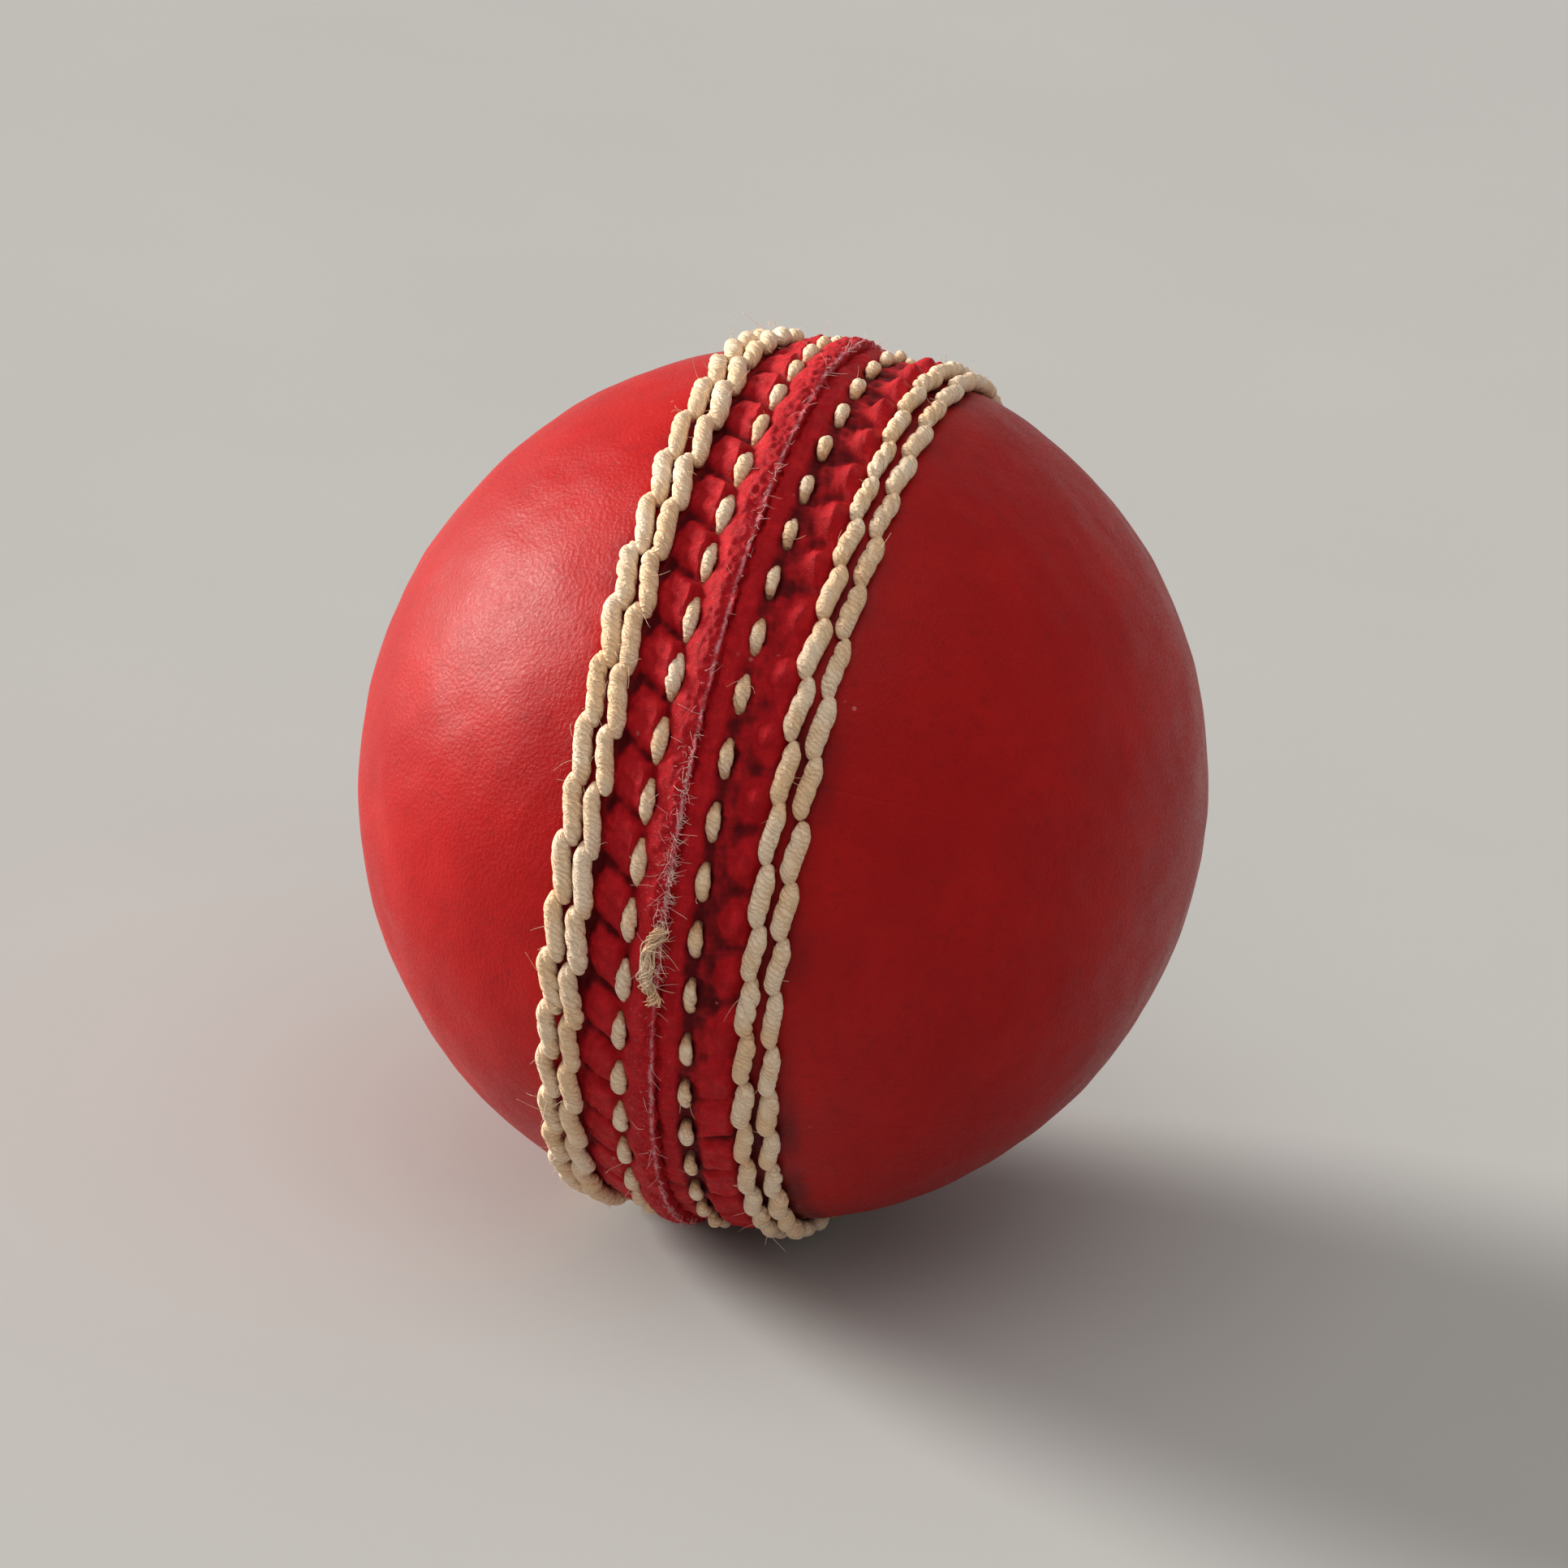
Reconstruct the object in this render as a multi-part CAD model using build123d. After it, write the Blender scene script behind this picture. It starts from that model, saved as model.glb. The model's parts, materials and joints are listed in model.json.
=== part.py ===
from build123d import *
import math
import os

# A hand-stitched, four-piece leather ball for cricket, in millimetres.
# The origin is the ball's centre. +X is the axis that the seam runs round, from the left cup's
# pole to the right cup's. +Z is up.
# From the inside out: a cork-and-rubber nut, cork slips bound on by windings of yarn, two cups of
# two leather quarters each, and six rows of stitches round the joint between the cups.

# The leather's smooth outer curve: an ellipse, turned about X
POLE_RADIUS = 35.2
SEAM_RADIUS = 36.5

# The core. Each winding is laid over the slips before it.
NUT_RADIUS = 13.0
WINDING_RADII = (15.0, 20.5, 26.0, 31.4)
SLIP_THICKNESS = 3.5
CORE_RADIUS = WINDING_RADII[-1]

# The stitched band: distances from the joint along X, and heights over the smooth curve
STITCHES = 46
OUTER_ROW = 9.2
MIDDLE_ROW = 7.25
LEFT_CLOSING_ROW = 3.0
RIGHT_CLOSING_ROW = 2.5
BAND_EDGE = 11.2
STRIP_EDGE = 5.8
STRIP_TOP = (5.3, 4.3)
STRIP_RISE = 0.35
GROOVE_EDGES = (3.8, 1.8)
GROOVE_DEPTH = 0.55
LEFT_LIP_RISE = 0.9
RIGHT_LIP_RISE = 0.3

# Stitches: thread diameter, length of one stitch, height of its centre over the smooth curve,
# how far it leans from the row's direction, and the diameter of the thread where it is pulled
# tight between two stitches
ROPE_STITCH = {"diameter": 1.4, "length": 4.6, "height": 0.72, "lean": 14, "neck": 0.9}
BEAD_STITCH = {"diameter": 1.35, "length": 4.4, "height": 0.64, "lean": -6, "neck": 0.7}
CLOSING_STITCH = {"diameter": 1.0, "length": 3.0, "height": 0.05, "lean": 4, "neck": 0.6}

# The hidden butt seams, inside the cups: how far the plane of each is turned about X from level
LEFT_SEAM_TURN = 65
RIGHT_SEAM_TURN = LEFT_SEAM_TURN + 90
BUTT_GROOVE_WIDTH = 3.2
BUTT_GROOVE_DEPTH = 0.8
BUTT_THREAD = 0.7
BUTT_PITCH_ANGLE = 8
BUTT_STITCHES = 21


def smooth_radius(x):
    """Distance from the X axis to the leather's smooth outer curve."""
    return SEAM_RADIUS * math.sqrt(1 - (x / POLE_RADIUS) ** 2)


def band_point(x, rise):
    """A point of the stitched band, that much over the smooth curve."""
    return (x, smooth_radius(x) + rise)


def cup_profile(lip_rise):
    """Half section of a cup through its pole, as a face in the XY plane on the +X side."""
    edge_angle = math.degrees(math.acos(BAND_EDGE / POLE_RADIUS))
    outside = EllipticalCenterArc((0, 0), POLE_RADIUS, SEAM_RADIUS, 0, arc_size=edge_angle)
    lip_top = (0, SEAM_RADIUS + lip_rise)
    band = Polyline(
        outside @ 1,
        band_point(STRIP_EDGE, 0),
        band_point(STRIP_TOP[0], STRIP_RISE),
        band_point(STRIP_TOP[1], STRIP_RISE),
        band_point(GROOVE_EDGES[0], -GROOVE_DEPTH),
        band_point(GROOVE_EDGES[1], -GROOVE_DEPTH),
        band_point(GROOVE_EDGES[1] - 0.3, lip_rise - 0.3),
        lip_top,
    )
    joint = Line(lip_top, (0, CORE_RADIUS))
    inside = CenterArc((0, 0), CORE_RADIUS, 0, 90)
    pole = Line((CORE_RADIUS, 0), (POLE_RADIUS, 0))
    return make_face(Wire([outside, *band.edges(), joint, inside, pole]))


def leather_quarter(side, lip_rise, seam_turn):
    """Half of a cup: the half over the plane of its butt seam, with that seam's inside groove."""
    quarter = revolve(cup_profile(lip_rise), Axis.X, 180)
    size = 2 * CORE_RADIUS + 4
    groove = Sphere(CORE_RADIUS + BUTT_GROOVE_DEPTH) & Box(size, size, BUTT_GROOVE_WIDTH)
    quarter = quarter - groove
    if side < 0:
        quarter = mirror(quarter, Plane.YZ)
    return Rot(X=seam_turn) * quarter


def capsule(diameter, length):
    """A round-ended rod along Y, centred on the origin."""
    radius = diameter / 2
    straight = length / 2 - radius
    outline = (
        Line((0, -length / 2), (0, length / 2))
        + RadiusArc((0, length / 2), (radius, straight), radius)
        + Line((radius, straight), (radius, -straight))
        + RadiusArc((radius, -straight), (0, -length / 2), radius)
    )
    return revolve(make_face(outline), Axis.Y, 360)


def stitch_row(x, diameter, length, height, lean, neck, phase):
    """A row of stitches all the way round the ball, as one thread that necks between stitches."""
    stitch = capsule(diameter, length)
    radius = smooth_radius(x) + height
    step = 360 / STITCHES
    ring = Pos(x, 0, 0) * Rot(Y=90) * Torus(radius, neck / 2)
    stitches = [
        Rot(X=(k + phase) * step) * Pos(x, 0, radius) * Rot(Z=lean) * stitch
        for k in range(STITCHES)
    ]
    return ring.fuse(*stitches)


def butt_stitches(side, seam_turn):
    """Short stitches across the butt seam, lying in its groove on the inside of a cup."""
    stitch = Cylinder(BUTT_THREAD / 2, BUTT_GROOVE_WIDTH)
    radius = CORE_RADIUS + BUTT_GROOVE_DEPTH / 2
    first = -BUTT_PITCH_ANGLE * (BUTT_STITCHES - 1) / 2
    return Compound(
        children=[
            Rot(X=seam_turn)
            * Rot(Z=first + k * BUTT_PITCH_ANGLE)
            * Pos(side * radius, 0, 0)
            * stitch
            for k in range(BUTT_STITCHES)
        ]
    )


def winding(inner, outer):
    """A layer of wound yarn: a whole spherical shell."""
    return Sphere(outer) - Sphere(inner)


def cork_slip(inner, direction):
    """Half of a layer of cork, as a bowl whose bottom points the given way."""
    outer = inner + SLIP_THICKNESS
    section = make_face(
        Line((inner, 0), (outer, 0))
        + CenterArc((0, 0), outer, 0, 90)
        + Line((0, outer), (0, inner))
        + CenterArc((0, 0), inner, 0, 90)
    )
    turn = {
        "right": Rot(),
        "left": Rot(Z=180),
        "back": Rot(Z=90),
        "front": Rot(Z=-90),
        "upper": Rot(Y=-90),
        "lower": Rot(Y=90),
    }
    return turn[direction] * revolve(section, Axis.X, 360)


nodes = {}

# The core, from the nut outwards. The halves of each layer of cork meet in a plane square to the
# planes of the other layers.
nodes["core_nut"] = Sphere(NUT_RADIUS)
inner = NUT_RADIUS
for layer, outer in enumerate(WINDING_RADII, start=1):
    nodes[f"yarn_winding_{layer}"] = winding(inner, outer)
    inner = outer + SLIP_THICKNESS
for layer, directions in enumerate((("left", "right"), ("front", "back"), ("lower", "upper"))):
    for direction in directions:
        name = f"cork_slip_{layer + 1}_{direction}"
        nodes[name] = cork_slip(WINDING_RADII[layer], direction)

# The cover: the left cup's butt seam faces forwards and backwards, the right cup's is square to it
nodes["leather_quarter_left_front"] = leather_quarter(-1, LEFT_LIP_RISE, LEFT_SEAM_TURN)
nodes["leather_quarter_left_back"] = leather_quarter(-1, LEFT_LIP_RISE, LEFT_SEAM_TURN + 180)
nodes["leather_quarter_right_lower"] = leather_quarter(1, RIGHT_LIP_RISE, RIGHT_SEAM_TURN)
nodes["leather_quarter_right_upper"] = leather_quarter(1, RIGHT_LIP_RISE, RIGHT_SEAM_TURN + 180)
nodes["quarter_stitches_left"] = butt_stitches(-1, LEFT_SEAM_TURN)
nodes["quarter_stitches_right"] = butt_stitches(1, RIGHT_SEAM_TURN)

# The seam, from left to right
nodes["seam_row_outer_left"] = stitch_row(-OUTER_ROW, **ROPE_STITCH, phase=0.5)
nodes["seam_row_middle_left"] = stitch_row(-MIDDLE_ROW, **ROPE_STITCH, phase=0.0)
nodes["seam_row_closing_left"] = stitch_row(-LEFT_CLOSING_ROW, **CLOSING_STITCH, phase=0.25)
nodes["seam_row_closing_right"] = stitch_row(RIGHT_CLOSING_ROW, **CLOSING_STITCH, phase=0.5)
nodes["seam_row_middle_right"] = stitch_row(MIDDLE_ROW, **BEAD_STITCH, phase=0.0)
nodes["seam_row_outer_right"] = stitch_row(OUTER_ROW, **BEAD_STITCH, phase=0.5)

os.makedirs("parts", exist_ok=True)
for name, shape in nodes.items():
    export_step(shape, f"parts/{name}.step")
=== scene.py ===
import json
import math

import bpy
import numpy as np
from mathutils import Matrix, Vector


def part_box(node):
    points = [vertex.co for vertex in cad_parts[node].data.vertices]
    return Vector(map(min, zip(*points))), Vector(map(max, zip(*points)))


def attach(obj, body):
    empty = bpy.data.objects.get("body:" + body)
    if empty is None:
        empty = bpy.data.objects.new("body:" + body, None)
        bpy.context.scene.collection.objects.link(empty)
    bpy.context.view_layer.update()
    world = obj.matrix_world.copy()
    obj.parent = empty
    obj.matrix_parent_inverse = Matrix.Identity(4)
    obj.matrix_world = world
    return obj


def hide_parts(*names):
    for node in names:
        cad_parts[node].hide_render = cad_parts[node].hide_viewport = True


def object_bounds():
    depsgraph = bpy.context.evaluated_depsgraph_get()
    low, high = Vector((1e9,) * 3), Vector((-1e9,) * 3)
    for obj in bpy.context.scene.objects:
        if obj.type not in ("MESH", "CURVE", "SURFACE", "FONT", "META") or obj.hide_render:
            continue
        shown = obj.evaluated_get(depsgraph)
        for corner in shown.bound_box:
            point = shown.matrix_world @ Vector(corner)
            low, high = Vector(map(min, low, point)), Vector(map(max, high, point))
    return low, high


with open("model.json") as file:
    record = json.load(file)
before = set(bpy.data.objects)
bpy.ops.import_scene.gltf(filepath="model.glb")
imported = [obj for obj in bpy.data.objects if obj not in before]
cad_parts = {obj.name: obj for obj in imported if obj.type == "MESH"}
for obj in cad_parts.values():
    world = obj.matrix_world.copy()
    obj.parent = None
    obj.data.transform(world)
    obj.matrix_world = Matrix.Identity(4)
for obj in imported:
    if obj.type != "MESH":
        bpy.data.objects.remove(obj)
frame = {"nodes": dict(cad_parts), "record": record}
cad_low, cad_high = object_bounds()

# Lengths below are millimetres unless a comment says otherwise, in the CAD part's frame: X runs
# from the left pole to the right pole, the seam lies round it in the YZ plane, Z is up.
MM = 0.001


def box_mm(node):
    """Lowest and highest corner of a CAD node."""
    low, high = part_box(node)
    return np.array(low) / MM, np.array(high) / MM


def row_place(node):
    """Distance of a row of stitches from the joint."""
    low, high = box_mm(node)
    return (low[0] + high[0]) / 2


# The leather's smooth outer curve, an ellipse turned about X
LEFT_LIP_RISE = 0.9
POLE_RADIUS = box_mm("leather_quarter_right_upper")[1][0]
SEAM_RADIUS = -box_mm("leather_quarter_left_front")[0][1] - LEFT_LIP_RISE
CORE_RADIUS = box_mm("yarn_winding_4")[1][2]
BUTT_GROOVE_HALF_WIDTH = 1.65
BUTT_GROOVE_DEPTH = 0.85

# The stitches. Angles run from the top of the ball over its front to the bottom.
STITCHES = 46
OUTER_ROW = row_place("seam_row_outer_right")
MIDDLE_ROW = row_place("seam_row_middle_right")
LEFT_CLOSING_ROW = -row_place("seam_row_closing_left")
RIGHT_CLOSING_ROW = row_place("seam_row_closing_right")

# Where the two quarters of each cup meet, and again half a turn on
LEFT_BUTT_ANGLE = math.radians(-25)
RIGHT_BUTT_ANGLE = math.radians(65)

# Where each cup's middle row starts, in stitch lengths from the top, and where the other rows'
# stitches lie, in stitch lengths from those of the middle row
LEFT_CUP_PHASE = 0.5
LEFT_OUTER_PHASE = -0.13
LEFT_CLOSING_PHASE = -0.5
RIGHT_CUP_PHASE = 0.2
RIGHT_OUTER_PHASE = 0.2
RIGHT_CLOSING_PHASE = 0.0

# The leather's mesh: rows of vertices from the pole to the stitched band, which is finer, and from
# there to the joint; then on the inside; and columns to each stitch
BAND_EDGE = 11.6
CAP_ROWS = 60
BAND_ROWS = 88
INNER_ROWS = 11
COLUMNS_PER_STITCH = 24
SHARP_EDGE = math.radians(55)

# The thread's plies, and the length in which each goes once round it
PLIES = 3
PLY_LAY = 5.0

# The thread's twist: distance between its fine turns, and how far they slant across it
TWIST_PITCH = 0.45
TWIST_SLANT = 0.46

# Stray hairs: points along one and sides round it
HAIR_POINTS = 12
HAIR_SIDES = 4

# Stray hairs start no lower than this, so that none goes through what the ball stands on
HAIRS_ABOVE = -33.0

# Camera, floor and lights
CAMERA_DISTANCE = 700.0
CAMERA_ELEVATION = math.radians(24)
SEAM_AXIS_SEEN = (0.959, -0.201, 0.199)
LIGHT_DISTANCE = 1500.0
FRAME_WIDTH = 130.5
SENSOR_WIDTH = 36.0
FLOOR_HALF_WIDTH = 6000.0

# The lights. Directions to them are as the camera sees them: right, up, towards it. The key's
# strength is in watts per square metre, the fill's power in watts.
KEY_DIRECTION = (-0.84, 0.50, -0.20)
KEY_STRENGTH = 6.0
KEY_WIDTH = math.radians(20)
KEY_COLOUR = (1.0, 0.955, 0.89)
FILL_DIRECTION = (0.0, 0.75, 0.65)
FILL_POWER = 7.0
FILL_COLOUR = (1.0, 0.95, 0.88)
WORLD_COLOUR = (0.96, 0.93, 0.89, 1)
WORLD_STRENGTH = 0.40


# ---------------------------------------------------------------- shape helpers


def lumps(points, size, seed, waves=28):
    """Smooth repeatable noise of about unit height: plane waves in random directions."""
    rng = np.random.default_rng(seed)
    directions = rng.normal(size=(waves, 3))
    directions /= np.linalg.norm(directions, axis=1)[:, None]
    rates = 2 * np.pi / (size * rng.uniform(0.7, 1.5, waves))
    starts = rng.uniform(0, 2 * np.pi, waves)
    total = np.zeros(points.shape[:-1])
    for direction, rate, start in zip(directions, rates, starts):
        total += np.sin(points @ direction * rate + start)
    return total * math.sqrt(2 / waves)


def hill(distance, width):
    """1 at no distance, falling smoothly to 0 over about twice the width."""
    return np.exp(-((distance / width) ** 2))


def step(low, high, value):
    """0 below low, 1 above high, smooth between; low may be the larger."""
    share = np.clip((value - low) / (high - low), 0, 1)
    return share * share * (3 - 2 * share)


def smooth_radius(x):
    """Distance from the X axis to the leather's smooth outer curve."""
    return SEAM_RADIUS * np.sqrt(np.clip(1 - (x / POLE_RADIUS) ** 2, 0, 1))


def on_ball(x, radius, angle):
    """Points at a distance from the X axis, at an angle from the top over the front."""
    return np.stack([x + 0 * angle, -radius * np.sin(angle), radius * np.cos(angle)], axis=-1)


def wound(place, height, angle):
    """Points that far from the joint, at a height over the leather's smooth curve, at an angle."""
    radius = smooth_radius(place) + height
    return np.stack([place, -radius * np.sin(angle), radius * np.cos(angle)], axis=-1)


class StitchRing:
    """Uneven spacing of one cup's stitches: stitch number against angle, both ways."""

    def __init__(self, seed, phase):
        rng = np.random.default_rng(seed)
        drift = np.cumsum(rng.normal(0, 0.035, STITCHES))
        drift -= np.linspace(0, drift[-1], STITCHES)
        angles = (np.arange(STITCHES) + phase + drift) * 2 * np.pi / STITCHES
        whole = 2 * np.pi
        self.angles = np.concatenate([angles - whole, angles, angles + whole, angles + 2 * whole])
        self.numbers = np.arange(-STITCHES, 3 * STITCHES)

    def number(self, angle):
        return np.interp(angle, self.angles, self.numbers)

    def angle(self, number):
        return np.interp(number, self.numbers, self.angles)


LEFT_RING = StitchRing(11, LEFT_CUP_PHASE)
RIGHT_RING = StitchRing(23, RIGHT_CUP_PHASE)


def nearest(number, phase):
    """Signed distance, in stitches, to the nearest stitch of a row with that phase."""
    return (number - phase + 0.5) % 1 - 0.5


def add_mesh(name, vertices, faces, material):
    """A smooth-shaded mesh, from millimetres, riding on the ball's only body."""
    mesh = bpy.data.meshes.new(name)
    mesh.from_pydata((vertices * MM).tolist(), [], faces)
    mesh.polygons.foreach_set("use_smooth", [True] * len(mesh.polygons))
    mesh.validate()
    mesh.update()
    piece = bpy.data.objects.new(name, mesh)
    bpy.context.scene.collection.objects.link(piece)
    mesh.materials.append(material)
    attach(piece, "root")
    return piece


# ---------------------------------------------------------------- leather


def worn_flat(angle):
    """0 on the top of the ball to 1 underneath, where the strips are pressed flatter."""
    return step(-0.1, -0.55, np.cos(angle))


def pressed_by_rows(d):
    """The shallow troughs that the outer and middle rows of thread press into the leather."""
    return -0.16 * hill(d - OUTER_ROW, 0.7) - 0.22 * hill(d - MIDDLE_ROW, 0.9)


def left_relief(d, angle, points):
    """Height of the left cup's leather over its smooth curve, d from the joint."""
    number = LEFT_RING.number(angle)
    flat = worn_flat(angle)
    dash = hill(nearest(number, LEFT_CLOSING_PHASE), 0.25)
    height = pressed_by_rows(d)

    # One pad a stitch, rising from the middle row to the lip, with slanting creases between
    inward = np.clip((6.3 - d) / 2.6, 0, 1)
    crease = nearest(number, 0.5 + (0.3 - 0.15 * flat) * inward)
    crown = 1 - hill(crease, 0.14 - 0.05 * flat)
    pad = step(6.6, 6.0, d) * step(3.1, 3.7, d)
    top = (0.05 + 0.78 * inward) * (1 - 0.35 * flat) + 0.14 * (1 - flat) * hill(crease - 0.5, 0.3)
    height += pad * (crown * top - 0.3 * (1 - crown))

    # A pocket beside each stitch of the middle row
    pocket = hill(nearest(number, -0.26), 0.2) * hill(d - 6.15, 0.5)
    height -= (0.45 - 0.25 * flat) * pocket

    # The lip, prouder than the right cup's, scalloped by the closing stitches
    border = 2.2 + 0.7 * (1 - dash)
    lip = step(border + 0.3, border - 0.25, d)
    height += lip * (0.95 - 0.17 * (d - 0.8) ** 2 + 0.1 * (1 - dash) * hill(d - 1.6, 0.7))
    height -= (0.15 + 0.4 * dash) * hill(d - LEFT_CLOSING_ROW, 0.5)

    # Unevenness between the rows and at the cut edge
    rough = step(6.8, 6.0, d)
    height += rough * (0.05 * lumps(points, 1.6, 41) + 0.035 * lumps(points, 0.7, 42))
    height += step(2.2, 0.4, d) * 0.06 * lumps(points, 0.55, 43)
    return height


def right_relief(d, angle, points):
    """Height of the right cup's leather over its smooth curve, d from the joint."""
    number = RIGHT_RING.number(angle)
    flat = worn_flat(angle)
    dash = hill(nearest(number, RIGHT_CLOSING_PHASE), 0.22)
    height = pressed_by_rows(d)

    # Round bumps by the necks of the middle row, flat slats underneath
    inward = np.clip((6.4 - d) / 2.8, 0, 1)
    between = nearest(number, 0.5 + 0.06 * inward)
    bump = hill(between, 0.29) * hill(d - 5.4, 1.0)
    slat = (1 - hill(nearest(number, 0.1 * inward), 0.09)) * step(6.5, 5.9, d) * step(3.2, 3.9, d)
    height += (1 - flat) * (1.35 * bump - 0.3 * hill(d - 4.7, 1.6)) + flat * (0.55 * slat - 0.2)

    # The lip, lower than the left cup's
    lip = step(2.0, 1.5, d)
    height += lip * (0.3 - 0.1 * dash) - 0.25 * hill(d, 0.3)
    height -= (0.25 + 0.4 * dash) * hill(d - RIGHT_CLOSING_ROW, 0.55)

    rough = step(6.8, 6.0, d)
    return height + rough * (0.05 * lumps(points, 1.6, 51) + 0.03 * lumps(points, 0.7, 52))


def leather_quarter(name, side, first_angle, relief, material):
    """Half a cup as a closed solid, from one butt face to the other, half a turn on."""
    even = np.linspace(0, np.pi, STITCHES * COLUMNS_PER_STITCH // 2 + 1)
    beside_butt = np.array([0.0015, 0.0035, 0.0058])  # radians, for the fine line of the butt seam
    turn = np.sort(np.concatenate([even, beside_butt, np.pi - beside_butt]))
    columns = len(turn)

    edge_angle = math.acos(BAND_EDGE / POLE_RADIUS)
    cap_rows = POLE_RADIUS * np.cos(np.linspace(0, edge_angle, CAP_ROWS + 1))[1:]
    band_rows = np.linspace(BAND_EDGE, 0, BAND_ROWS + 1)[1:]
    turn_grid, d = np.meshgrid(turn, np.concatenate([cap_rows, band_rows]))
    angle = first_angle + turn_grid

    base = on_ball(side * d, smooth_radius(d), angle)
    radius = smooth_radius(d) + relief(d, angle, base)

    # The butt seam is a fine line in a faint trough; the joint between the cups has a ragged edge
    from_butt = smooth_radius(d) * np.minimum(turn_grid, np.pi - turn_grid)
    groove = 0.035 * hill(from_butt, 0.13) + 0.02 * hill(from_butt, 0.7)
    ragged = 0.09 * lumps(base, 1.1, 61) + 0.05 * lumps(base, 0.45, 62)
    x = side * d + step(1.0, 0.0, d) * ragged
    outer = on_ball(x, radius - groove, angle)
    outer[..., 0] = x

    # A hand-made ball isn't quite true
    unevenness = 0.05 * lumps(base, 11, 71) + 0.016 * lumps(base, 3.4, 72)
    outer *= 1 + unevenness[..., None] / 36

    # The inside, resting on the core, with the groove of the butt seam's stitches
    polar = np.linspace(np.pi / 2, 0, INNER_ROWS + 1)[:-1][:, None]
    inner_radius = CORE_RADIUS + 0.02
    inner_from_butt = inner_radius * np.sin(polar) * np.sin(turn)
    inner_r = inner_radius + BUTT_GROOVE_DEPTH * (inner_from_butt < BUTT_GROOVE_HALF_WIDTH)
    inner_x = side * inner_r * np.cos(polar)
    inner = on_ball(inner_x, inner_r * np.sin(polar), first_angle + turn + 0 * polar)
    inner[..., 0] = inner_x

    # One grid of vertices from the outer pole to the joint and on to the inner pole
    rows = len(d) + len(polar)
    grid = np.concatenate([outer, inner]).reshape(-1, 3)
    inner_pole_radius = inner_radius + BUTT_GROOVE_DEPTH
    poles = np.array([[side * POLE_RADIUS, 0, 0], [side * inner_pole_radius, 0, 0]])
    vertices = np.concatenate([grid, poles])
    outer_pole = rows * columns
    inner_pole = outer_pole + 1

    index = np.arange(rows * columns).reshape(rows, columns)
    quads = np.stack([index[:-1, :-1], index[1:, :-1], index[1:, 1:], index[:-1, 1:]], axis=-1)
    faces = quads.reshape(-1, 4).tolist()
    faces += [[outer_pole, a, b] for a, b in zip(index[0, :-1].tolist(), index[0, 1:].tolist())]
    faces += [[inner_pole, b, a] for a, b in zip(index[-1, :-1].tolist(), index[-1, 1:].tolist())]
    butt = [outer_pole] + index[:, -1].tolist() + [inner_pole] + index[::-1, 0].tolist()
    faces.append(butt)
    if side > 0:
        faces = [face[::-1] for face in faces]
    piece = add_mesh(name, vertices, faces, material)
    piece.data.set_sharp_from_angle(angle=SHARP_EDGE)
    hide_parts(name.replace("cover_", "leather_quarter_"))
    return piece


# ---------------------------------------------------------------- threads


def tubes(paths, radii, up, sides, ply_depth=None):
    """Closed round tubes along paths (tube, point, 3), with a radius and an up vector at each.

    Where a depth is given for the furrows between plies, the tube is a thread of twisted plies."""
    count, points = radii.shape
    tangent = np.gradient(paths, axis=1)
    tangent /= np.linalg.norm(tangent, axis=2)[..., None]
    across = np.cross(tangent, up)
    across /= np.linalg.norm(across, axis=2)[..., None]
    up = np.cross(across, tangent)
    spans = np.linalg.norm(np.diff(paths, axis=1), axis=2)
    along = np.concatenate([np.zeros((count, 1)), np.cumsum(spans, axis=1)], axis=1)
    around = np.arange(sides) * 2 * np.pi / sides
    ring_radii = np.repeat(radii[..., None], sides, axis=2)
    if ply_depth is not None:
        phase = around - along[..., None] * 2 * np.pi / PLY_LAY
        furrow = (1 - np.abs(np.sin(phase * PLIES / 2))) ** 2
        ring_radii = ring_radii * (1 - ply_depth * furrow)
    rings = (
        paths[:, :, None]
        + (ring_radii * np.cos(around))[..., None] * across[:, :, None]
        + (ring_radii * np.sin(around))[..., None] * up[:, :, None]
    )
    caps = np.stack([paths[:, 0], paths[:, -1]], axis=1)
    vertices = np.concatenate([rings.reshape(count, -1, 3), caps], axis=1).reshape(-1, 3)

    grid = np.arange(points * sides).reshape(points, sides)
    ahead = np.roll(grid, -1, axis=1)
    quads = np.stack([grid[:-1], ahead[:-1], ahead[1:], grid[1:]], axis=-1).reshape(-1, 4)
    first, last = points * sides, points * sides + 1
    start = np.stack([np.full(sides, first), ahead[0], grid[0]], axis=-1)
    end = np.stack([np.full(sides, last), grid[-1], ahead[-1]], axis=-1)
    faces = []
    for k in range(count):
        offset = k * (points * sides + 2)
        for block in (quads, start, end):
            faces += (block + offset).tolist()
    return vertices, faces


def join(blocks):
    """One vertex array and face list from several."""
    vertices, faces, offset = [], [], 0
    for block_vertices, block_faces in blocks:
        vertices.append(block_vertices)
        faces += [[i + offset for i in face] for face in block_faces]
        offset += len(block_vertices)
    return np.concatenate(vertices), faces


def outward(points):
    """Unit vectors away from the X axis."""
    up = points * np.array([0, 1, 1])
    return up / np.linalg.norm(up, axis=-1)[..., None]


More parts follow.
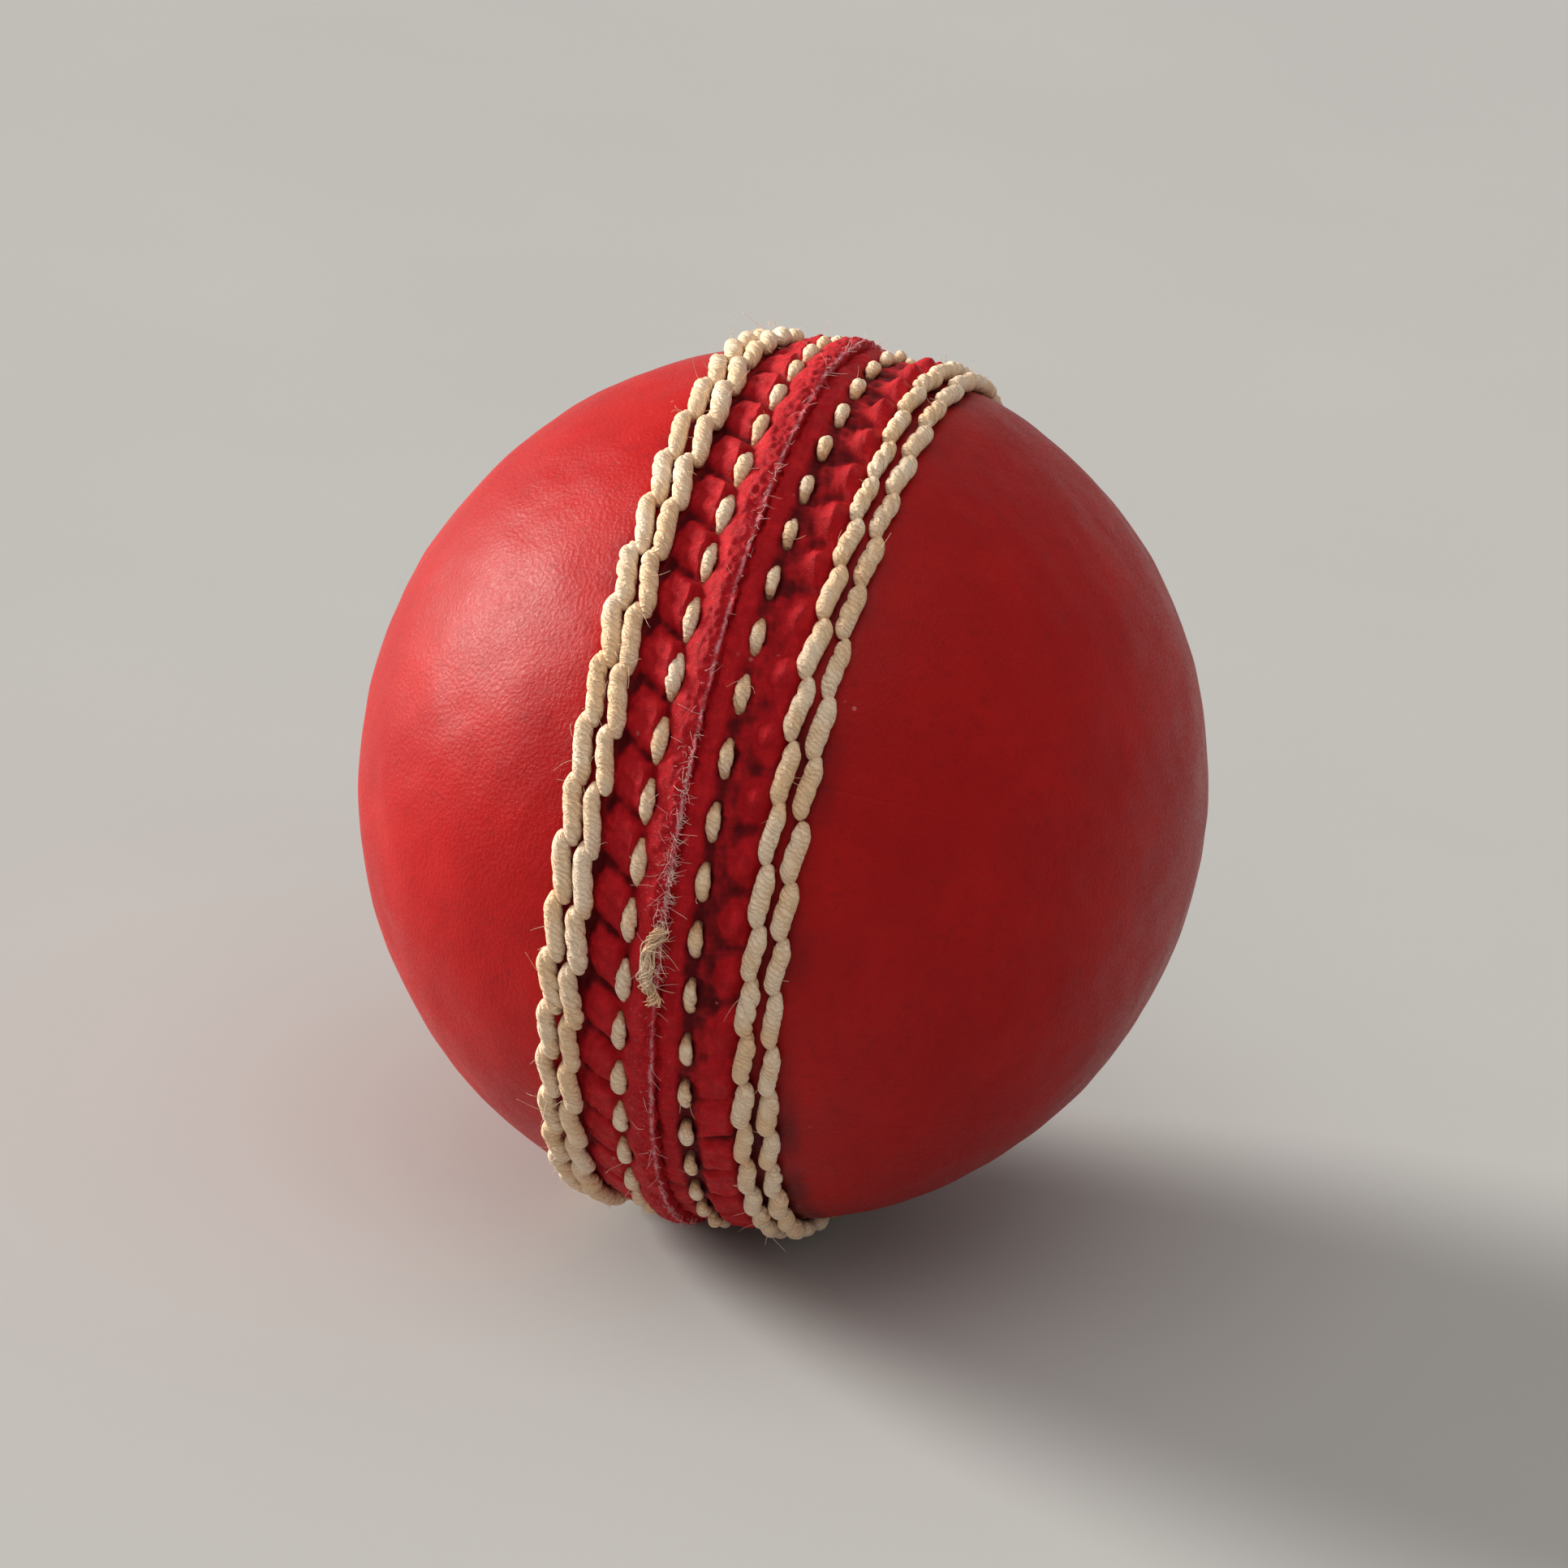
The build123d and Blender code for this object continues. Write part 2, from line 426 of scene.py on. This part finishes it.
def row_paths(ring, phase, x, style, rng):
    """Centre-lines and radii of a row's stitches.

    A stitch comes up at its head, beside the stitch before it, swings over to one side, runs
    slantwise to the other, and goes down at its tail, beside the head of the next one."""
    t = np.linspace(-1, 1, style["points"])
    numbers = np.arange(STITCHES)[:, None]
    jitter = rng.normal(0, 1, (7, STITCHES, 1))
    half = style["length"] / 2
    body = style["body"]
    q = t * half * (1 + 0.03 * jitter[0])
    head = np.clip((-body - q) / (half - body), 0, 1)
    tail = np.clip((q - body) / (half - body), 0, 1)
    angle = ring.angle(numbers + phase + 0.02 * jitter[1] + q)

    slant = np.sin(np.clip(q / style["lean_over"], -1, 1) * np.pi / 2)
    swing = style["swing"] * (1 + 0.2 * jitter[2])
    turn_back = style["hook"] * (1 - np.cos(np.pi * head)) / 2
    place = x + swing * (slant + turn_back) + 0.05 * jitter[3]

    height = style["height"] + 0.1 * (1 - t * t) + 0.04 * jitter[4]
    height = height - style["head_dive"] * head**1.6 - style["tail_dive"] * tail**1.8
    thin = 1 - style["head_taper"] * head**1.3 - style["tail_taper"] * tail**1.5
    round_end = np.sqrt(np.clip(1 - np.clip((np.abs(t) - 0.87) / 0.13, 0, 1) ** 2, 0.02, 1))
    waver = np.sin(2 * np.pi * (1.7 * t + jitter[6]))
    swell = 1 + 0.06 * (1 - 2 * t * t) + 0.06 * jitter[5] + 0.03 * waver
    radii = style["radius"] * thin * round_end * swell
    return wound(place, height, angle), radii


def fibres(roots, away, rng, lengths, radius, spread):
    """Fine stray fibres, each a curling hair from its root, with the way it leaves."""
    count = len(roots)
    t = np.linspace(0, 1, HAIR_POINTS)[None, :, None]
    side = rng.normal(0, 1, (count, 3))
    bend = rng.normal(0, 1, (count, 3))
    length = rng.uniform(*lengths, (count, 1))
    start = away + spread * side
    start /= np.linalg.norm(start, axis=1)[:, None]
    curl = rng.uniform(2, 6, (count, 1, 1)) * t + rng.uniform(0, 2 * np.pi, (count, 1, 1))
    waves = np.sin(curl) - np.sin(curl[:, :1])
    curling = 0.16 * length[:, None] * waves * np.cross(start, side)[:, None]
    bending = (bend * length * 0.55)[:, None] * t**2
    paths = roots[:, None] + (start * length)[:, None] * t + bending + curling
    radii = radius * (1 - 0.6 * t[..., 0]) * np.ones((count, 1))
    up = np.broadcast_to(np.cross(start, bend)[:, None], paths.shape)
    return tubes(paths, radii, up, HAIR_SIDES)


def thread_row(node, ring, phase, x, style, material, seed, hairs):
    """One row of stitches with its stray fibres, standing for that row's CAD node."""
    rng = np.random.default_rng(seed)
    paths, radii = row_paths(ring, phase, x, style, rng)
    ply_depth = (0.12 + 0.24 * rng.uniform(0, 1, STITCHES) ** 3)[:, None, None]
    blocks = [tubes(paths, radii, outward(paths), style["sides"], ply_depth)]
    stitch = rng.integers(0, STITCHES, hairs)
    point = rng.integers(4, style["points"] - 4, hairs)
    clear = paths[stitch, point, 2] > HAIRS_ABOVE
    stitch, point = stitch[clear], point[clear]
    centre = paths[stitch, point]
    away = outward(centre)
    away[:, 0] += rng.uniform(-1, 1, len(stitch))
    away /= np.linalg.norm(away, axis=1)[:, None]
    roots = centre + away * radii[stitch, point][:, None] * 0.9
    blocks.append(fibres(roots, away, rng, (0.4, 1.5), 0.028, 0.8))
    vertices, faces = join(blocks)
    piece = add_mesh(node.replace("seam_row", "stitches"), vertices, faces, material)
    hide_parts(node)
    return piece


# How each kind of stitch lies. Lengths along the row (length, lean_over, body) are in stitches, the
# rest is in millimetres, and a taper is a share of the radius.
ROPE = {
    "points": 44, "sides": 30, "length": 1.22, "lean_over": 0.58, "body": 0.30,
    "radius": 0.75, "height": 0.68,
    "swing": 0.45, "hook": 0.55, "head_dive": 0.42, "tail_dive": 0.50,
    "head_taper": 0.26, "tail_taper": 0.30,
}
BEAD = {
    "points": 38, "sides": 28, "length": 1.06, "lean_over": 0.32, "body": 0.30,
    "radius": 0.71, "height": 0.56,
    "swing": -0.17, "hook": 0.5, "head_dive": 0.5, "tail_dive": 0.5,
    "head_taper": 0.46, "tail_taper": 0.46,
}
LEFT_DASH = {
    "points": 30, "sides": 22, "length": 0.80, "lean_over": 0.3, "body": 0.02,
    "radius": 0.62, "height": 0.3,
    "swing": 0.05, "hook": 0.0, "head_dive": 0.7, "tail_dive": 0.8,
    "head_taper": 0.35, "tail_taper": 0.6,
}
RIGHT_DASH = {
    "points": 30, "sides": 22, "length": 0.64, "lean_over": 0.3, "body": 0.02,
    "radius": 0.56, "height": 0.12,
    "swing": 0.06, "hook": 0.0, "head_dive": 0.7, "tail_dive": 0.7,
    "head_taper": 0.45, "tail_taper": 0.45,
}


# ---------------------------------------------------------------- materials


class Shader:
    """A node material with short calls for the nodes used here."""

    def __init__(self, name):
        self.material = bpy.data.materials.new(name)
        self.material.use_nodes = True
        self.tree = self.material.node_tree
        self.surface = self.tree.nodes["Principled BSDF"]
        coordinates = self.tree.nodes.new("ShaderNodeTexCoord")
        scale = self.tree.nodes.new("ShaderNodeVectorMath")
        scale.operation = "SCALE"
        scale.inputs["Scale"].default_value = 1 / MM
        self.tree.links.new(coordinates.outputs["Object"], scale.inputs[0])
        self.place = scale.outputs[0]

    def feed(self, socket, value):
        if hasattr(value, "is_output"):
            self.tree.links.new(value, socket)
        else:
            socket.default_value = value

    def math(self, operation, a, b=0.0, c=0.0):
        node = self.tree.nodes.new("ShaderNodeMath")
        node.operation = operation
        for socket, value in zip(node.inputs, (a, b, c)):
            self.feed(socket, value)
        return node.outputs[0]

    def ease(self, value, low, high, to_low=0.0, to_high=1.0):
        """Maps low..high smoothly to to_low..to_high."""
        node = self.tree.nodes.new("ShaderNodeMapRange")
        node.interpolation_type = "SMOOTHSTEP"
        for name, given in (
            ("Value", value), ("From Min", low), ("From Max", high),
            ("To Min", to_low), ("To Max", to_high),
        ):
            self.feed(node.inputs[name], given)
        return node.outputs[0]

    def noise(self, size, detail=2.0, roughness=0.5, distortion=0.0):
        node = self.tree.nodes.new("ShaderNodeTexNoise")
        self.tree.links.new(self.place, node.inputs["Vector"])
        node.inputs["Scale"].default_value = 1 / size
        node.inputs["Detail"].default_value = detail
        node.inputs["Roughness"].default_value = roughness
        node.inputs["Distortion"].default_value = distortion
        return node.outputs["Fac"]

    def cells(self, size, feature="F1"):
        node = self.tree.nodes.new("ShaderNodeTexVoronoi")
        node.feature = feature
        self.tree.links.new(self.place, node.inputs["Vector"])
        node.inputs["Scale"].default_value = 1 / size
        return node.outputs["Distance"]

    def mix(self, share, a, b):
        node = self.tree.nodes.new("ShaderNodeMix")
        node.data_type = "RGBA"
        self.feed(node.inputs["Factor"], share)
        self.feed(node.inputs[6], a)
        self.feed(node.inputs[7], b)
        return node.outputs[2]

    def bump(self, height, distance, strength=1.0, normal=None):
        """Bump from a height of 0 to 1 that stands for that many millimetres."""
        node = self.tree.nodes.new("ShaderNodeBump")
        node.inputs["Strength"].default_value = strength
        node.inputs["Distance"].default_value = distance * MM
        self.tree.links.new(height, node.inputs["Height"])
        if normal is not None:
            self.tree.links.new(normal, node.inputs["Normal"])
        return node.outputs[0]

    def place_on_rows(self):
        """Distance along the rows of stitches, from the top over the front, and from the joint."""
        parts = self.tree.nodes.new("ShaderNodeSeparateXYZ")
        self.tree.links.new(self.place, parts.inputs[0])
        x, y, z = parts.outputs
        angle = self.math("ARCTAN2", self.math("MULTIPLY", y, -1.0), z)
        return self.math("MULTIPLY", angle, float(SEAM_RADIUS)), x

    def seam_measures(self):
        """Distance from the joint, positive to the right, and height over the smooth curve."""
        parts = self.tree.nodes.new("ShaderNodeSeparateXYZ")
        self.tree.links.new(self.place, parts.inputs[0])
        x, y, z = parts.outputs
        squares = self.math("ADD", self.math("MULTIPLY", y, y), self.math("MULTIPLY", z, z))
        from_axis = self.math("SQRT", squares)
        share = self.math("DIVIDE", x, float(POLE_RADIUS))
        curve = self.math("SQRT", self.math("SUBTRACT", 1.0, self.math("MULTIPLY", share, share)))
        smooth = self.math("MULTIPLY", curve, float(SEAM_RADIUS))
        return x, self.math("SUBTRACT", from_axis, smooth)

    def finish(self, colour, roughness, normal, **uniform):
        self.feed(self.surface.inputs["Base Color"], colour)
        self.feed(self.surface.inputs["Roughness"], roughness)
        self.tree.links.new(normal, self.surface.inputs["Normal"])
        for name, value in uniform.items():
            self.surface.inputs[name.replace("_", " ")].default_value = value
        return self.material


def red_leather(name):
    """Polished dyed leather, rougher and more crimson between the rows, bare at the cut edge.
    Painted shade darkens its hollows by the rows, and a painted pink sheen lies with scuffs on the
    lip's raised parts.
    """
    s = Shader(name)
    x, height = s.seam_measures()
    d = s.math("ABSOLUTE", x)
    band = s.ease(d, 6.9, 6.1)
    lip = s.ease(d, 2.9, 2.3)

    tone = s.noise(9.0, 3.0, 0.6)
    fine_tone = s.noise(1.3, 4.0, 0.65)
    red = s.mix(s.ease(tone, 0.35, 0.7), (0.36, 0.0022, 0.0034, 1), (0.42, 0.0042, 0.0040, 1))
    red = s.mix(s.ease(fine_tone, 0.52, 0.75, 0.0, 0.5), red, (0.25, 0.0015, 0.004, 1))
    flecks = s.ease(s.noise(0.32, 3.0, 0.6), 0.54, 0.70, 0.0, 0.35)
    red = s.mix(flecks, red, (0.24, 0.0015, 0.003, 1))
    crimson = s.mix(s.ease(fine_tone, 0.4, 0.7), (0.48, 0.005, 0.012, 1), (0.66, 0.012, 0.020, 1))
    colour = s.mix(band, red, crimson)
    # Painted shade: the leather goes nearly black where it sinks below its smooth curve near the
    # rows
    hollow_shade = s.math("MULTIPLY", s.ease(height, 0.05, -0.4), s.ease(d, 12.0, 10.6))
    colour = s.mix(s.math("MULTIPLY", hollow_shade, 0.85), colour, (0.05, 0.001, 0.003, 1))

    specks = s.cells(1.9)
    near_row = s.math("MULTIPLY", s.ease(d, 14.5, 11.0), s.ease(specks, 0.13, 0.07))
    nicks = s.math("MULTIPLY", near_row, s.ease(s.noise(2.2, 2.0), 0.55, 0.62))
    colour = s.mix(s.math("MULTIPLY", nicks, 0.7), colour, (0.60, 0.16, 0.14, 1))

    fuzz = s.noise(0.22, 4.0, 0.75)
    left = s.ease(x, 0.1, -0.1)
    edge = s.ease(s.math("ADD", d, s.math("MULTIPLY", fuzz, 0.5)), 0.60, 0.36)
    edge = s.math("MULTIPLY", s.math("MULTIPLY", edge, left), s.ease(height, 0.35, 0.6))
    # Pink scuffs with a painted sheen on the lip's raised parts; this pink is shared with the pale
    # bare cut edge
    scuffs_and_sheen = s.math("MULTIPLY", s.math("MULTIPLY", lip, s.ease(fuzz, 0.60, 0.70)), 0.55)
    scuffs_and_sheen = s.math("MULTIPLY", scuffs_and_sheen, s.ease(height, 0.2, 0.6))
    edge = s.math("MULTIPLY", edge, s.ease(s.noise(0.9, 3.0, 0.7), 0.42, 0.56, 0.15, 0.8))
    raw_edge_and_sheen = s.math("MAXIMUM", edge, scuffs_and_sheen)
    colour = s.mix(raw_edge_and_sheen, colour, (0.84, 0.36, 0.42, 1))

    grain = s.cells(0.30, "SMOOTH_F1")
    pores = s.noise(0.11, 3.0, 0.6)
    creases = s.noise(1.3, 3.0, 0.5)
    coarse = s.bump(creases, 0.08, 0.06)
    normal = s.bump(grain, 0.08, 0.45, coarse)
    normal = s.bump(pores, 0.06, 0.6, normal)
    rough_skin = s.bump(s.math("MULTIPLY", fuzz, band), 0.16, 0.9, normal)

    sparkle = s.ease(s.noise(0.24, 2.0, 0.6), 0.35, 0.65, -0.08, 0.08)
    polish = s.math("ADD", s.ease(s.noise(3.6, 4.0, 0.65), 0.3, 0.75, 0.36, 0.45), sparkle)
    roughness = s.math("ADD", polish, s.math("MULTIPLY", band, 0.14))
    roughness = s.math("ADD", roughness, s.math("MULTIPLY", raw_edge_and_sheen, 0.3))
    return s.finish(
        colour, roughness, rough_skin,
        Specular_IOR_Level=0.16,
    )


def cream_thread(name):
    """Waxed linen thread, with painted shade that turns it brown and then nearly black where it
    sinks into the leather.
    """
    s = Shader(name)
    _, height = s.seam_measures()
    tone = s.noise(4.5, 2.0, 0.5)
    colour = s.mix(s.ease(tone, 0.35, 0.65), (0.88, 0.61, 0.37, 1), (0.92, 0.74, 0.55, 1))

    # Fine turns of twist, slanting across the thread and uneven, with painted shade in the furrows
    # between them
    along, across = s.place_on_rows()
    lean = s.math("ADD", along, s.math("MULTIPLY", across, -TWIST_SLANT))
    uneven = s.math("MULTIPLY", s.noise(1.1, 3.0, 0.6), 3 * TWIST_PITCH)
    turns = s.math("MULTIPLY", s.math("ADD", lean, uneven), 2 * math.pi / TWIST_PITCH)
    twist = s.math("ADD", s.math("MULTIPLY", s.math("SINE", turns), 0.5), 0.5)
    faint = s.ease(s.noise(1.7, 2.0), 0.35, 0.65, 0.25, 1.0)
    between = s.math("MULTIPLY", s.ease(twist, 0.5, 0.0, 0.0, 0.6), faint)
    colour = s.mix(between, colour, (0.62, 0.34, 0.18, 1))

    # Painted shade: browner, then nearly black, the lower the thread lies towards the leather
    low = s.math("ADD", height, s.math("MULTIPLY", s.noise(0.8, 3.0), 0.8))
    colour = s.mix(s.ease(low, 1.0, 0.45, 0.0, 0.7), colour, (0.50, 0.24, 0.10, 1))
    colour = s.mix(s.ease(low, 0.5, 0.1, 0.0, 0.85), colour, (0.12, 0.03, 0.012, 1))
    grime = s.ease(s.noise(0.5, 4.0, 0.7), 0.58, 0.75, 0.0, 0.35)
    colour = s.mix(grime, colour, (0.50, 0.27, 0.13, 1))
    fine = s.noise(0.12, 4.0, 0.7, 0.6)
    normal = s.bump(twist, 0.12, 0.8)
    normal = s.bump(fine, 0.06, 0.7, normal)
    return s.finish(
        colour, 0.62, normal,
        Specular_IOR_Level=0.3, Sheen_Weight=0.08, Sheen_Roughness=0.5,
    )


def pale_fibre(name):
    """Loose fibres of leather and thread along the joint."""
    s = Shader(name)
    tone = s.ease(s.noise(1.2, 2.0), 0.4, 0.6)
    colour = s.mix(tone, (0.86, 0.72, 0.62, 1), (0.80, 0.36, 0.36, 1))
    return s.finish(colour, 0.6, s.bump(s.noise(0.1, 2.0), 0.02), Sheen_Weight=0.3)


def wound_yarn(name):
    """Worsted yarn wound wet over the core: crossing turns with a soft, hairy surface."""
    s = Shader(name)
    turns = s.tree.nodes.new("ShaderNodeTexWave")
    turns.inputs["Scale"].default_value = 0.55
    turns.inputs["Distortion"].default_value = 7.0
    turns.inputs["Detail"].default_value = 1.0
    turns.inputs["Detail Scale"].default_value = 0.35
    s.tree.links.new(s.place, turns.inputs["Vector"])
    hairs = s.noise(0.25, 4.0, 0.7, 0.5)
    colour = s.mix(turns.outputs["Fac"], (0.42, 0.34, 0.22, 1), (0.74, 0.67, 0.52, 1))
    colour = s.mix(s.ease(hairs, 0.4, 0.8, 0.0, 0.4), colour, (0.86, 0.80, 0.68, 1))
    normal = s.bump(hairs, 0.12, 0.7, s.bump(turns.outputs["Fac"], 0.5, 0.8))
    return s.finish(colour, 0.85, normal, Sheen_Weight=0.4)


def cork(name):
    """Pressed cork: pale granules with dark bark between and small open pits."""
    s = Shader(name)
    grains = s.cells(2.2, "F1")
    between = s.cells(2.2, "DISTANCE_TO_EDGE")
    pits = s.noise(0.7, 4.0, 0.7)
    colour = s.mix(s.ease(grains, 0.1, 0.8), (0.52, 0.33, 0.17, 1), (0.36, 0.20, 0.09, 1))
    colour = s.mix(s.ease(between, 0.06, 0.0), colour, (0.12, 0.06, 0.03, 1))
    colour = s.mix(s.ease(pits, 0.62, 0.72), colour, (0.09, 0.05, 0.02, 1))
    normal = s.bump(pits, 0.2, 0.6, s.bump(between, 0.25, 0.5))
    return s.finish(colour, 0.88, normal)


def cork_rubber(name):
    """Moulded nut: dark rubber with granules of cork in it."""
    s = Shader(name)
    grains = s.cells(1.6, "F1")
    colour = s.mix(s.ease(grains, 0.42, 0.34), (0.045, 0.035, 0.03, 1), (0.38, 0.22, 0.11, 1))
    normal = s.bump(s.noise(0.5, 3.0), 0.12, 0.6)
    return s.finish(colour, s.ease(grains, 0.34, 0.42, 0.85, 0.6), normal)


def fine_thread(name):
    """Fine twisted silk of the hidden seams."""
    s = Shader(name)
    colour = s.mix(s.noise(0.6, 3.0), (0.80, 0.77, 0.68, 1), (0.66, 0.58, 0.44, 1))
    return s.finish(colour, 0.5, s.bump(s.noise(0.12, 3.0, 0.6, 0.8), 0.04, 0.8), Sheen_Weight=0.3)


def pale_floor(name):
    """Matt painted table top with a faint unevenness."""
    s = Shader(name)
    colour = s.mix(s.noise(60, 3.0), (0.46, 0.465, 0.465, 1), (0.50, 0.50, 0.495, 1))
    return s.finish(colour, 1.0, s.bump(s.noise(1.2, 3.0), 0.02, 0.3), Specular_IOR_Level=0.0)


# ---------------------------------------------------------------- the ball

leather = red_leather("red_leather")
thread = cream_thread("seam_thread")

QUARTERS = (
    ("cover_left_front", -1, LEFT_BUTT_ANGLE, left_relief),
    ("cover_left_back", -1, LEFT_BUTT_ANGLE + math.pi, left_relief),
    ("cover_right_lower", 1, RIGHT_BUTT_ANGLE, right_relief),
    ("cover_right_upper", 1, RIGHT_BUTT_ANGLE + math.pi, right_relief),
)
for name, side, first_angle, relief in QUARTERS:
    leather_quarter(name, side, first_angle, relief, leather)

# The end of each row's node name, its ring, phase and distance from the joint, its kind of stitch,
# its seed and its number of stray hairs
ROWS = (
    ("outer_left", LEFT_RING, LEFT_OUTER_PHASE, -OUTER_ROW, ROPE, 101, 150),
    ("middle_left", LEFT_RING, 0.0, -MIDDLE_ROW, ROPE, 102, 110),
    ("closing_left", LEFT_RING, LEFT_CLOSING_PHASE, -LEFT_CLOSING_ROW, LEFT_DASH, 103, 30),
    ("closing_right", RIGHT_RING, RIGHT_CLOSING_PHASE, RIGHT_CLOSING_ROW, RIGHT_DASH, 104, 30),
    ("middle_right", RIGHT_RING, 0.0, MIDDLE_ROW, BEAD, 105, 60),
    ("outer_right", RIGHT_RING, RIGHT_OUTER_PHASE, OUTER_ROW, BEAD, 106, 60),
)
for row, ring, phase, x, style, seed, hairs in ROWS:
    thread_row("seam_row_" + row, ring, phase, x, style, thread, seed, hairs)


def joint_fibres(name, material):
    """The fuzz along the left cup's cut edge, thickest where it is worn on the front."""
    rng = np.random.default_rng(207)
    hairs, rise = 420, 0.82
    even = rng.uniform(0, 2 * np.pi, hairs)
    worn = rng.normal(math.radians(79), math.radians(8), hairs)
    angle = np.concatenate([even, worn])
    angle = angle[SEAM_RADIUS * np.cos(angle) > HAIRS_ABOVE]
    place = -np.abs(rng.normal(0, 0.45, len(angle)))
    roots = on_ball(place, SEAM_RADIUS + rise, angle)
    away = outward(roots) * 0.5 + np.array([0.6, 0, 0])
    away /= np.linalg.norm(away, axis=1)[:, None]
    vertices, faces = fibres(roots, away, rng, (0.25, 1.1), 0.025, 1.2)
    return add_mesh(name, vertices, faces, material)


def frayed_end(name, material):
    """A loose end of thread curling along the lip, its strands untwisting, with a few hairs."""
    rng = np.random.default_rng(311)
    strands, points, hairs = 34, 40, 26
    start_angle, whole_turn = 86.3, 9.6
    t = np.linspace(0, 1, points)[None]
    spread = 0.38 + 0.9 * (t - 0.5) ** 2
    start = rng.uniform(0, 2 * np.pi, (strands, 1))
    waver = np.sin(2 * np.pi * t * rng.uniform(0.7, 1.6, (strands, 1)))
    turn = start + 2 * np.pi * (1.6 * t + 0.16 * waver)
    out = spread * rng.uniform(0.3, 1.3, (strands, 1)) * (1 + 0.3 * np.sin(4 * start + 9 * t))
    curve = -0.1 - 3.7 * t * (1 - t) + 0.25 * np.sin(5 * np.pi * t) * t
    place = curve + out * np.cos(turn)
    before, after = rng.uniform(0, 0.6, (2, strands, 1))
    angle = np.radians(start_angle - before + (whole_turn + before + after) * t)
    height = 1.25 + 0.7 * out * np.sin(turn)
    paths = wound(place, height, angle)
    radii = rng.uniform(0.045, 0.08, (strands, 1)) * (1 - 0.5 * np.abs(2 * t - 1) ** 3)
    blocks = [tubes(paths, radii, outward(paths), 6)]
    roots = paths[rng.integers(0, strands, hairs), rng.integers(3, points, hairs)]
    away = outward(roots) * 0.3 + np.array([1.0, 0, 0])
    away /= np.linalg.norm(away, axis=1)[:, None]
    blocks.append(fibres(roots, away, rng, (0.8, 1.8), 0.035, 0.5))
    vertices, faces = join(blocks)
    return add_mesh(name, vertices, faces, material)


joint_fibres("joint_fibres", pale_fibre("loose_fibre"))
frayed_end("frayed_end", thread)

INNER_MATERIALS = {
    "core_rubber": cork_rubber("core_rubber"),
    "yarn": wound_yarn("wound_yarn"),
    "cork": cork("cork"),
    "butt_thread": fine_thread("butt_thread"),
}
for part in frame["record"]["subparts"]:
    if part["material_slot"] in INNER_MATERIALS:
        mesh = frame["nodes"][part["node"]].data
        mesh.materials.clear()
        mesh.materials.append(INNER_MATERIALS[part["material_slot"]])


# ---------------------------------------------------------------- floor, light and camera


def floor(level):
    """A wide level plane at that height."""
    half = FLOOR_HALF_WIDTH
    corners = np.array([[-half, -half], [half, -half], [half, half], [-half, half]])
    vertices = np.concatenate([corners, np.full((4, 1), level)], axis=1)
    mesh = bpy.data.meshes.new("floor")
    mesh.from_pydata((vertices * MM).tolist(), [], [[0, 1, 2, 3]])
    mesh.materials.append(pale_floor("floor"))
    plane = bpy.data.objects.new("floor", mesh)
    bpy.context.scene.collection.objects.link(plane)


def camera_axes(seam_axis, elevation):
    """World directions of the camera's right, up and back, from how it sees the seam's axis.

    seam_axis is world +X as the camera sees it (right, up, towards it)."""
    seam_axis = Vector(seam_axis).normalized()
    toward = math.sin(elevation)
    a = seam_axis.y / seam_axis.x
    b = toward * seam_axis.z / seam_axis.x
    square = 1 + a * a
    root = math.sqrt(a * a * b * b - square * (b * b + toward * toward - 1))
    up_y = (root - a * b) / square
    world_up = Vector((-a * up_y - b, up_y, toward))
    world_back = world_up.cross(seam_axis)
    return Matrix((seam_axis, world_back, world_up))


def add_light(name, kind, direction, power, colour):
    """A light that shines from a direction on to the ball."""
    light = bpy.data.lights.new(name, kind)
    light.energy = power
    light.color = colour
    lamp = bpy.data.objects.new(name, light)
    lamp.location = direction.normalized() * LIGHT_DISTANCE * MM
    lamp.rotation_mode = "QUATERNION"
    lamp.rotation_quaternion = direction.to_track_quat("Z", "Y")
    bpy.context.scene.collection.objects.link(lamp)
    return light


floor(cad_low.z / MM)
to_world = camera_axes(SEAM_AXIS_SEEN, CAMERA_ELEVATION)
camera = bpy.data.objects.new("camera", bpy.data.cameras.new("camera"))
camera.data.sensor_width = SENSOR_WIDTH
camera.data.lens = SENSOR_WIDTH * CAMERA_DISTANCE / FRAME_WIDTH
camera.data.clip_end = 50
camera_place = to_world @ Vector((0, 0, CAMERA_DISTANCE * MM))
camera.matrix_world = Matrix.Translation(camera_place) @ to_world.to_4x4()
bpy.context.scene.collection.objects.link(camera)
bpy.context.scene.camera = camera

key = add_light("key", "SUN", to_world @ Vector(KEY_DIRECTION), KEY_STRENGTH, KEY_COLOUR)
key.angle = KEY_WIDTH
fill = add_light("fill", "AREA", to_world @ Vector(FILL_DIRECTION), FILL_POWER, FILL_COLOUR)
fill.size = LIGHT_DISTANCE * MM

bpy.context.scene.view_settings.view_transform = "Standard"
world = bpy.data.worlds.new("studio")
bpy.context.scene.world = world
world.use_nodes = True
sky = world.node_tree.nodes["Background"]
sky.inputs["Color"].default_value = WORLD_COLOUR
sky.inputs["Strength"].default_value = WORLD_STRENGTH
